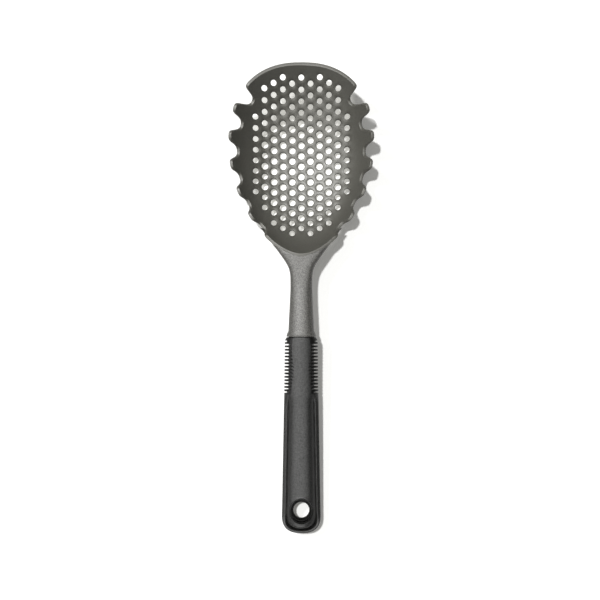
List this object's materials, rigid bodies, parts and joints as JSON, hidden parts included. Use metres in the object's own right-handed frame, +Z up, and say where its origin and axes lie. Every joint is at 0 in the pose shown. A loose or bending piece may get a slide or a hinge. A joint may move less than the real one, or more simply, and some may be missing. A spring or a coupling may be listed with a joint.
{
  "type": "pasta scoop",
  "caption": "Pasta scoop: a perforated oval bowl with toothed sides and a plain front lip on a flared neck, with a soft ribbed grip that ends in a hanging eye.",
  "frame": {"origin": "under the middle of the scoop's length, on the surface it lies on", "axes": "+Y along the scoop from the grip to the front lip, +Z up out of the open bowl, +X to the right when the grip is nearest"},
  "size_m": [0.1086, 0.352, 0.0375],
  "materials": {
    "nylon": "satin, dark grey",
    "hard_plastic": "satin, black",
    "soft_rubber": "matt, black"
  },
  "bodies": {
    "root": {"scoop_head": "nylon", "handle_core": "hard_plastic", "soft_grip": "soft_rubber"}
  },
  "joints": []
}
